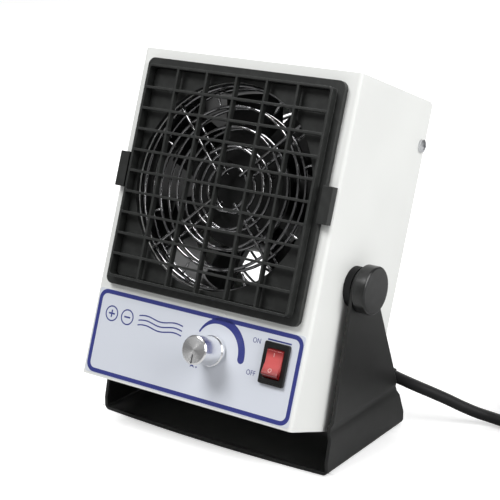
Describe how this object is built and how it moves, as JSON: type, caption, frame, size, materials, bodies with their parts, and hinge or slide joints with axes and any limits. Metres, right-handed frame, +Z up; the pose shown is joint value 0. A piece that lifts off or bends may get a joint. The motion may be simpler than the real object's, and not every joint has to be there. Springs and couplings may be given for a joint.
{
  "type": "ionizing blower",
  "caption": "Benchtop ionizing air blower: white sheet-steel head with a clip-on grille, speed knob and lit rocker switch, tilting on a black U-shaped stand, with mains lead.",
  "frame": {"origin": "on the underside of the stand, straight below the tilt axis and midway between the arms", "axes": "+X to the right seen from the front, parallel to the tilt axis; +Y from the front to the back; +Z up"},
  "size_m": [0.3042, 0.2182, 0.2072],
  "materials": {
    "coated_white_steel": "white powder coat",
    "coated_black_steel": "black powder coat",
    "dark_moulding": "moulded, fine grain",
    "black_moulding": "moulded, satin",
    "label_film": "printed polyester film",
    "plated_wire": "bright nickel plate",
    "zinc_steel": "zinc plated",
    "steel_shaft": "ground",
    "turned_aluminium": "turned face, satin",
    "red_lens": "translucent red",
    "black_rubber": "matt",
    "copper_winding": "varnished winding with its plastic former",
    "green_board": "solder mask",
    "pale_moulding": "moulded, satin"
  },
  "bodies": {
    "stand": {"stand_bracket": "coated_black_steel", "mains_cord": "black_rubber", "cord_coil": "black_rubber", "plug_body": "black_rubber", "plug_pins": "zinc_steel"},
    "head": {"front_housing": "coated_white_steel", "rear_housing": "coated_white_steel", "cover_screws": "zinc_steel", "panel_label": "label_film", "guard_base": "dark_moulding", "front_wire_guard": "plated_wire", "emitter_ring": "black_moulding", "emitter_needles": "steel_shaft", "inner_wire_guard": "plated_wire", "fan_frame": "black_moulding", "fan_motor": "copper_winding", "fan_bearings": "steel_shaft", "fan_screws": "zinc_steel", "fan_spacers": "pale_moulding", "rear_wire_guard": "plated_wire", "rear_guard_screws": "zinc_steel", "rear_guard_nuts": "zinc_steel", "speed_pot": "green_board", "pot_nut": "zinc_steel", "switch_housing": "black_moulding", "speed_board": "green_board", "high_voltage_module": "black_moulding", "board_standoffs": "zinc_steel", "terminal_block": "pale_moulding", "pivot_nuts": "zinc_steel", "side_washers": "black_rubber", "cord_boot": "black_rubber"},
    "rotor": {"fan_impeller": "black_moulding", "fan_shaft": "steel_shaft"},
    "speed_dial": {"speed_knob": "turned_aluminium", "pot_shaft": "steel_shaft"},
    "rocker": {"switch_rocker": "red_lens"},
    "clamp_left": {"clamp_knob_left": "black_moulding", "clamp_stud_left": "zinc_steel"},
    "clamp_right": {"clamp_knob_right": "black_moulding", "clamp_stud_right": "zinc_steel"},
    "cover": {"grille_cover": "dark_moulding"}
  },
  "joints": [
    {"name": "head_tilt", "type": "hinge", "parent": "stand", "child": "head", "pos_m": [0, 0, 0.095], "axis": [-1, 0, 0], "range_deg": [-25, 25]},
    {"name": "fan_spin", "type": "hinge", "parent": "head", "child": "rotor", "pos_m": [0, -0.01895, 0.14234], "axis": [0, 0.9397, -0.342], "continuous": true},
    {"name": "speed_turn", "type": "hinge", "parent": "head", "child": "speed_dial", "pos_m": [0.014, -0.04837, 0.06152], "axis": [0, 0.9397, -0.342], "range_deg": [0, 280]},
    {"name": "switch_rock", "type": "hinge", "parent": "head", "child": "rocker", "pos_m": [0.0532, -0.04782, 0.06303], "axis": [1, 0, 0], "range_deg": [0, 20]},
    {"name": "clamp_left_turn", "type": "hinge", "parent": "head", "child": "clamp_left", "pos_m": [-0.08, 0, 0.095], "axis": [-1, 0, 0], "range_deg": [0, 360]},
    {"name": "clamp_right_turn", "type": "hinge", "parent": "head", "child": "clamp_right", "pos_m": [0.08, 0, 0.095], "axis": [1, 0, 0], "range_deg": [0, 360]},
    {"name": "cover_lift", "type": "slide", "parent": "head", "child": "cover", "axis": [0, -0.9397, 0.342], "range_m": [0, 0.03]}
  ]
}
